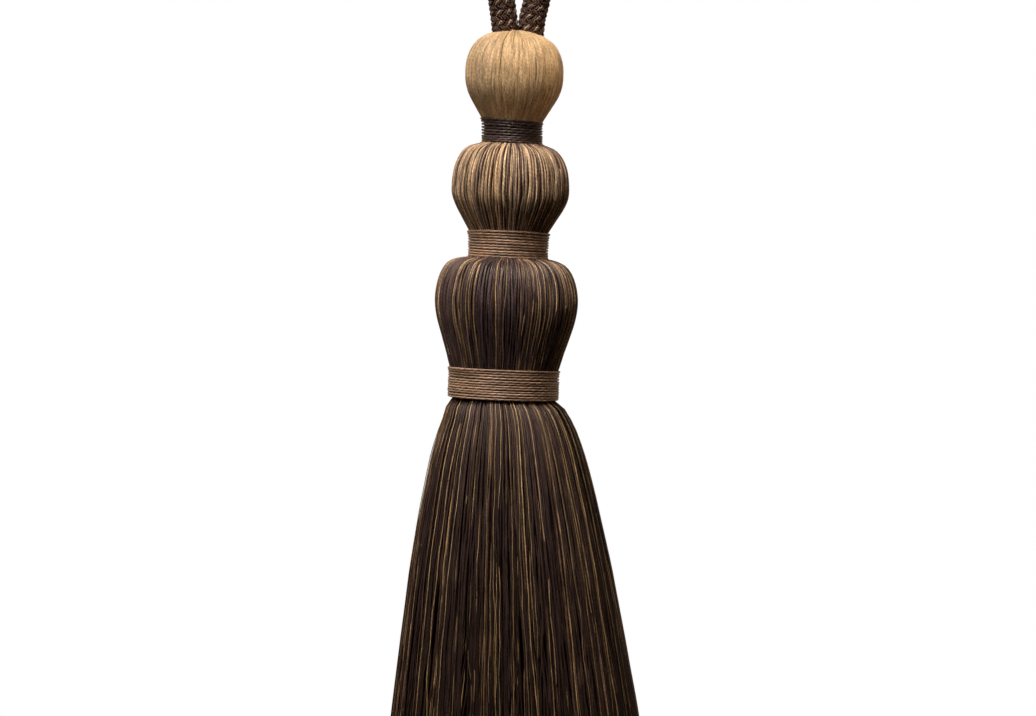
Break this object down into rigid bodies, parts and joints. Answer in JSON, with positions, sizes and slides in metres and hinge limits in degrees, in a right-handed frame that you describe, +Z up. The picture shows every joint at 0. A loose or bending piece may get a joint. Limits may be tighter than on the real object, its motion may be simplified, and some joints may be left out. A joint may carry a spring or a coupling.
{
  "type": "tassel",
  "caption": "Hanging key or tie-back tassel: braided cord loop, head of yarn balls between wound bindings, and a long flared skirt of loose yarns.",
  "frame": {"origin": "where the tassel hangs: the top of the inside of its cord loop", "axes": "+Z up along the hanging tassel, -Y towards the front that the picture shows, +X to the right"},
  "size_m": [0.092, 0.0923, 0.358],
  "materials": {
    "braid": "dark purplish brown braid with tan flecks",
    "gold_yarn": "soft golden tan yarn laid side by side",
    "mixed_yarn": "golden tan and dark brown yarns in narrow stripes",
    "dark_yarn": "dark purplish brown yarn with single gold yarns",
    "dark_binding": "dark plied yarn, wound",
    "tan_binding": "tan brown plied yarn, wound"
  },
  "bodies": {
    "root": {"cord_loop": "braid", "ball_upper": "gold_yarn", "binding_upper": "dark_binding", "ball_middle": "mixed_yarn", "binding_middle": "tan_binding", "ball_lower": "dark_yarn", "binding_lower": "tan_binding", "skirt": "dark_yarn"}
  },
  "joints": []
}
